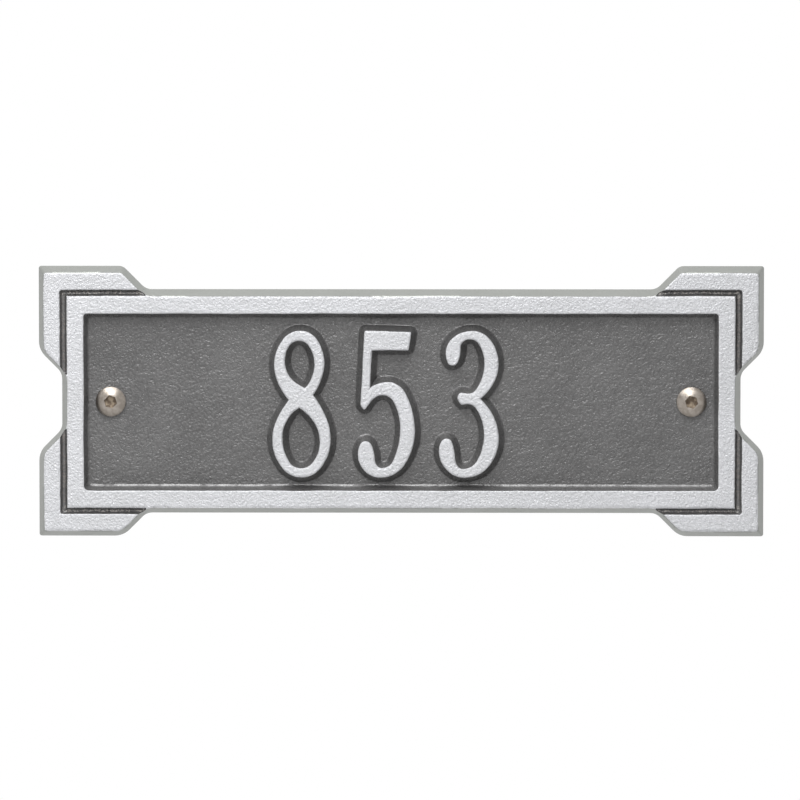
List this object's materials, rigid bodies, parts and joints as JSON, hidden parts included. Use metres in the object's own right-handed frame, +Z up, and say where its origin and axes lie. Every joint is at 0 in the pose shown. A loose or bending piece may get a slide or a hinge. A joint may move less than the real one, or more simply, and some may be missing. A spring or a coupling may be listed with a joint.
{
  "type": "house number plaque",
  "caption": "Cast metal wall plaque with a sunken field, raised frame, grooved corner brackets and raised house numerals, held by button-head screws",
  "frame": {"origin": "middle of the flat back face, where the plaque meets the wall", "axes": "+X to the right along the number seen from the front, +Y into the wall, +Z up"},
  "size_m": [0.254, 0.0292, 0.0948],
  "materials": {
    "painted_casting": "dark pewter paint on the field and walls, silver paint on the raised faces, fine cast texture",
    "screw_steel": "plain stainless steel, machined"
  },
  "bodies": {
    "root": {"plaque_casting": "painted_casting", "mounting_screws": "screw_steel"}
  },
  "joints": []
}
